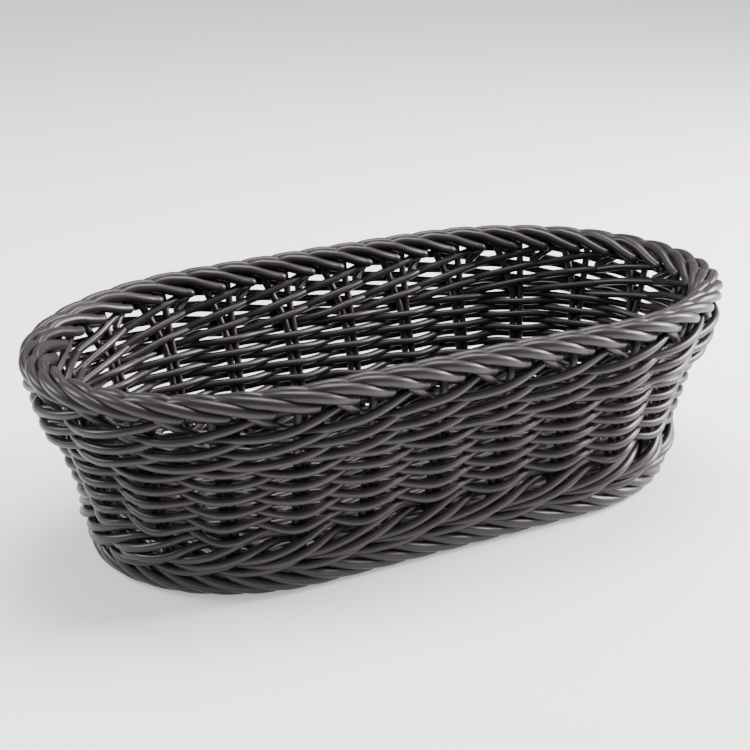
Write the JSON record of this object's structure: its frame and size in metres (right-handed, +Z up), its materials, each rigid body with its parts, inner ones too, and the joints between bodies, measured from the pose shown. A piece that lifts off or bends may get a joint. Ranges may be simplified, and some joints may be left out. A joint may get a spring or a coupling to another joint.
{
  "type": "bread basket",
  "caption": "Long oval woven bread basket with a flared wall, a plaited rim border, bands of waling and a flat woven base.",
  "frame": {"origin": "centre of the foot border's underside, on the table", "axes": "+X along the basket's length, +Y across it, +Z up"},
  "size_m": [0.38, 0.2, 0.112],
  "materials": {
    "stakes": "semi-matte with fine lengthwise streaks",
    "weavers": "semi-matte with fine lengthwise streaks",
    "borders": "semi-matte with fine lengthwise streaks",
    "base": "semi-matte with fine lengthwise streaks"
  },
  "bodies": {
    "root": {"stake_pair_01": "stakes", "stake_pair_02": "stakes", "stake_pair_03": "stakes", "stake_pair_04": "stakes", "stake_pair_05": "stakes", "stake_pair_06": "stakes", "stake_pair_07": "stakes", "stake_pair_08": "stakes", "stake_pair_09": "stakes", "stake_pair_10": "stakes", "stake_pair_11": "stakes", "stake_pair_12": "stakes", "stake_pair_13": "stakes", "stake_pair_14": "stakes", "stake_pair_15": "stakes", "stake_pair_16": "stakes", "stake_pair_17": "stakes", "stake_pair_18": "stakes", "stake_pair_19": "stakes", "stake_pair_20": "stakes", "stake_pair_21": "stakes", "stake_pair_22": "stakes", "stake_pair_23": "stakes", "stake_pair_24": "stakes", "upper_wale_rod_01": "weavers", "upper_wale_rod_02": "weavers", "upper_wale_rod_03": "weavers", "upper_wale_rod_04": "weavers", "upper_wale_rod_05": "weavers", "upper_wale_rod_06": "weavers", "randing_row_01": "weavers", "randing_row_02": "weavers", "randing_row_03": "weavers", "randing_row_04": "weavers", "randing_row_05": "weavers", "randing_row_06": "weavers", "randing_row_07": "weavers", "randing_row_08": "weavers", "randing_row_09": "weavers", "randing_row_10": "weavers", "randing_row_11": "weavers", "lower_wale_rod_01": "weavers", "lower_wale_rod_02": "weavers", "lower_wale_rod_03": "weavers", "lower_wale_rod_04": "weavers", "lower_wale_rod_05": "weavers", "lower_wale_rod_06": "weavers", "base_row_01": "base", "base_row_02": "base", "base_row_03": "base", "base_row_04": "base", "base_row_05": "base", "base_long_sticks": "base", "base_cross_sticks": "base", "rim_border_outer": "borders", "rim_border_inner": "borders", "foot_border": "borders"}
  },
  "joints": []
}
